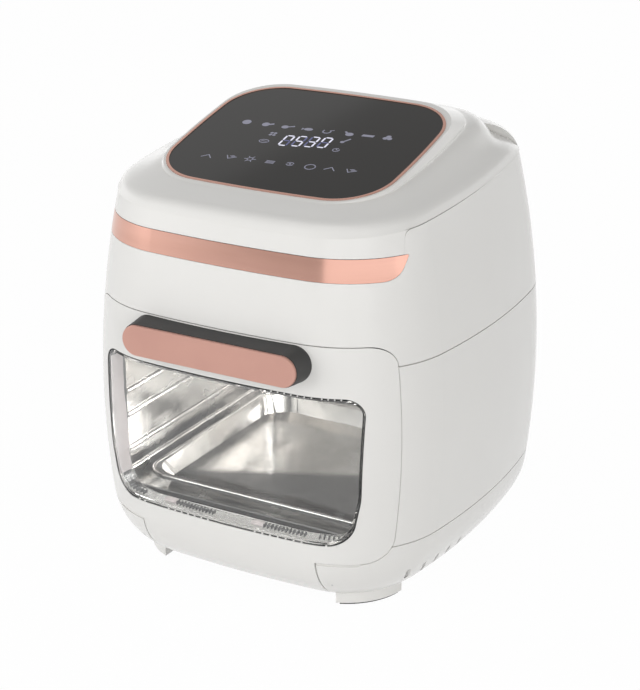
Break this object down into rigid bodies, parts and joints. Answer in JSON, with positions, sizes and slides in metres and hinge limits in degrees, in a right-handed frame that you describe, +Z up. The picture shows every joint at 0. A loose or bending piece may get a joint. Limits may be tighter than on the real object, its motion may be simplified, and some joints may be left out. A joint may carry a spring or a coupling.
{
  "type": "air fryer oven",
  "caption": "Countertop air fryer oven with a barrel-shaped body, drop-down window door with bar handle, sloping touch panel, drip tray and fan.",
  "frame": {"origin": "on the table, under the middle of the whole oven with its handle", "axes": "+X to the right seen from the front, +Y towards the back, +Z up"},
  "size_m": [0.3254, 0.3531, 0.3771],
  "materials": {
    "white_gloss": "warm white gloss moulding",
    "rose_gloss": "polished rose copper",
    "rose_satin": "satin rose anodised",
    "charcoal": "matt charcoal",
    "dark_glass": "dark printed glass",
    "clear_window": "clear moulded panel",
    "clear_glass": "clear tempered glass",
    "rubber_dark": "matt",
    "rubber_grey": "matt silicone",
    "grey_panel": "matt dark grey",
    "bright_steel": "bright rolled stainless",
    "tray_steel": "mirror stainless",
    "plain_steel": "plain",
    "element_steel": "heat-darkened sheath",
    "fan_alu": "plain",
    "motor_paint": "semi-matt",
    "board_green": "solder resist",
    "inner_plastic": "plain",
    "magnet_dark": "plain",
    "bulb_glass": "clear"
  },
  "bodies": {
    "oven": {"base": "white_gloss", "foot_pads": "rubber_dark", "lower_housing": "white_gloss", "upper_housing": "white_gloss", "top_cover": "white_gloss", "rear_cover": "white_gloss", "trim_band": "rose_gloss", "panel_rim": "rose_gloss", "panel_glass": "dark_glass", "panel_carrier": "charcoal", "control_board": "board_green", "display_module": "charcoal", "power_board": "board_green", "board_standoffs": "inner_plastic", "cord_gland": "charcoal", "front_frame": "grey_panel", "cavity_seal": "rubber_grey", "door_magnets": "magnet_dark", "oven_liner": "bright_steel", "heat_shield": "plain_steel", "fan_guard": "bright_steel", "heating_element": "element_steel", "element_clips": "plain_steel", "motor_bracket": "plain_steel", "fan_motor": "motor_paint", "temperature_probe": "plain_steel", "spit_motor": "motor_paint", "lamp_housing": "fan_alu", "lamp_bulb": "bulb_glass", "lamp_glass": "clear_glass", "switch_body": "charcoal", "hinge_pins": "plain_steel", "base_screws": "plain_steel", "rear_screws": "plain_steel"},
    "fan": {"motor_shaft": "plain_steel", "convection_fan": "fan_alu", "cooling_fan": "fan_alu", "fan_nut": "plain_steel"},
    "spit_drive": {"spit_socket": "plain_steel"},
    "switch": {"switch_plunger": "charcoal"},
    "tray": {"drip_tray": "tray_steel"},
    "door": {"door_shell": "white_gloss", "door_window": "clear_window", "window_gasket": "rubber_dark", "door_inner_panel": "grey_panel", "door_inner_glass": "clear_glass", "door_strikes": "plain_steel", "handle_body": "charcoal", "handle_plate": "rose_satin", "handle_screws": "plain_steel"}
  },
  "joints": [
    {"name": "door_hinge", "type": "hinge", "parent": "oven", "child": "door", "pos_m": [0, -0.13725, 0.03], "axis": [1, 0, 0], "range_deg": [0, 85]},
    {"name": "tray_slide", "type": "slide", "parent": "oven", "child": "tray", "axis": [0, -1, 0], "range_m": [0, 0.058]},
    {"name": "switch_travel", "type": "slide", "parent": "oven", "child": "switch", "axis": [0, -1, 0], "range_m": [0, 0.003]},
    {"name": "fan_spin", "type": "hinge", "parent": "oven", "child": "fan", "pos_m": [0, 0.00475, 0.23], "axis": [0, 0, 1], "continuous": true},
    {"name": "spit_spin", "type": "hinge", "parent": "oven", "child": "spit_drive", "pos_m": [0.13, 0.00475, 0.128], "axis": [1, 0, 0], "continuous": true}
  ],
  "couplings": [
    {"joint": "tray_slide", "follows": "door_hinge", "m_per_rad": 0.039},
    {"joint": "switch_travel", "follows": "door_hinge", "m_per_rad": 0.002}
  ]
}
